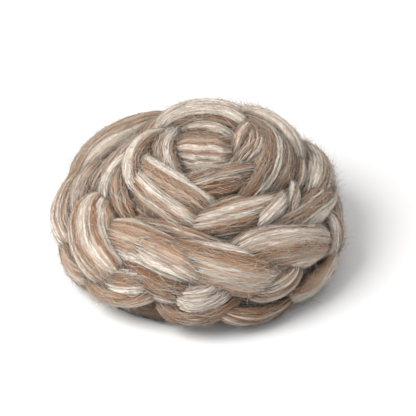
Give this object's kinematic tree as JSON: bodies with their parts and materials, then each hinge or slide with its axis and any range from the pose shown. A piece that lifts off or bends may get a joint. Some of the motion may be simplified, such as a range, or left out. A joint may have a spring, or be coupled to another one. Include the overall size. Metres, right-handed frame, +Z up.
{
  "type": "wool roving nest",
  "caption": "Plaited combed wool roving in natural cream, grey, tan and brown, wound into a low round nest of two tiers with a raised heart.",
  "frame": {"origin": "centre of the nest's box, on the flat that it rests on", "axes": "+Z up through the heart, -Y to the front, +X to the right"},
  "size_m": [0.2026, 0.2052, 0.081],
  "materials": {
    "combed_wool": "soft matt combed wool, streaked along the fibre in cream, light grey, tan and brown, with loose hairs"
  },
  "bodies": {
    "root": {"roving_nest": "combed_wool"}
  },
  "joints": []
}
